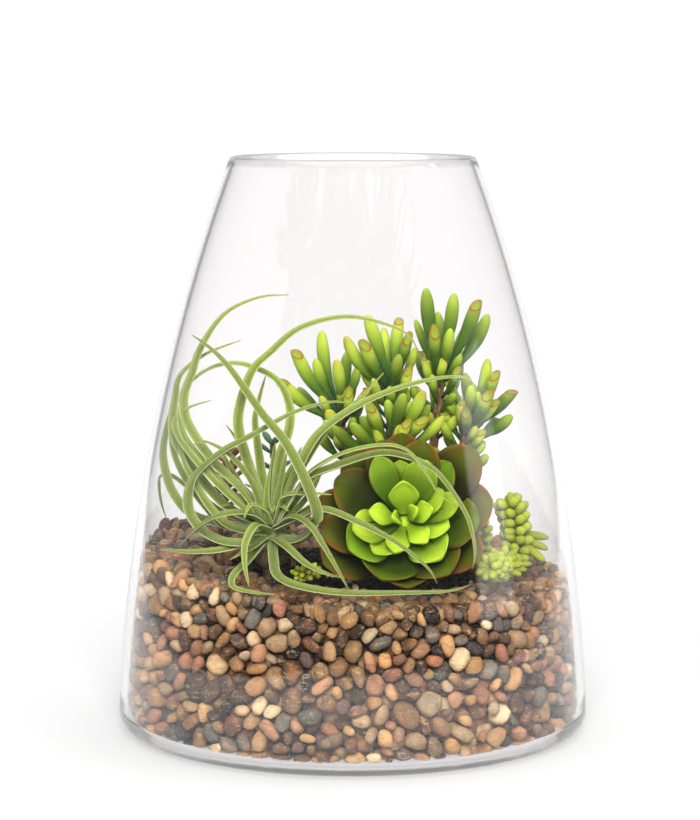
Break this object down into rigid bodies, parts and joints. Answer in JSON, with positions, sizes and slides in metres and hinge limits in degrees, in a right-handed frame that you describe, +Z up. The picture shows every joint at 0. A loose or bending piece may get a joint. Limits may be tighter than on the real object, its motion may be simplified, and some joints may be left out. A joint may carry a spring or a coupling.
{
  "type": "glass plant terrarium",
  "caption": "Open tapered glass jar filled with river pebbles and planting soil, planted with an air plant, an echeveria rosette, finger jade and sedum.",
  "frame": {"origin": "centre of the flat underside of the jar, on the surface it stands on", "axes": "+Z up the jar's axis to its mouth, -Y to the planted front, +X to the right seen from the front"},
  "size_m": [0.2396, 0.2396, 0.29],
  "materials": {
    "clear_glass": "polished",
    "river_pebbles": "satin",
    "potting_soil": "rough",
    "air_plant_leaf": "velvety",
    "finger_jade_leaf": "satin",
    "echeveria_leaf": "satin",
    "sedum_leaf": "satin",
    "teal_leaf": "satin",
    "bronze_leaf": "satin"
  },
  "bodies": {
    "root": {"glass_jar": "clear_glass", "pebble_bed": "river_pebbles", "planting_soil": "potting_soil", "air_plant": "air_plant_leaf", "finger_jade_middle": "finger_jade_leaf", "finger_jade_centre": "finger_jade_leaf", "finger_jade_left": "finger_jade_leaf", "finger_jade_front": "finger_jade_leaf", "finger_jade_right": "finger_jade_leaf", "echeveria_rosette": "echeveria_leaf", "sedum_front_tail": "sedum_leaf", "sedum_back_tail": "sedum_leaf", "sedum_tuft": "sedum_leaf", "creeping_sedum": "sedum_leaf", "teal_jade_sprig": "teal_leaf", "bronze_sprig": "bronze_leaf"}
  },
  "joints": []
}
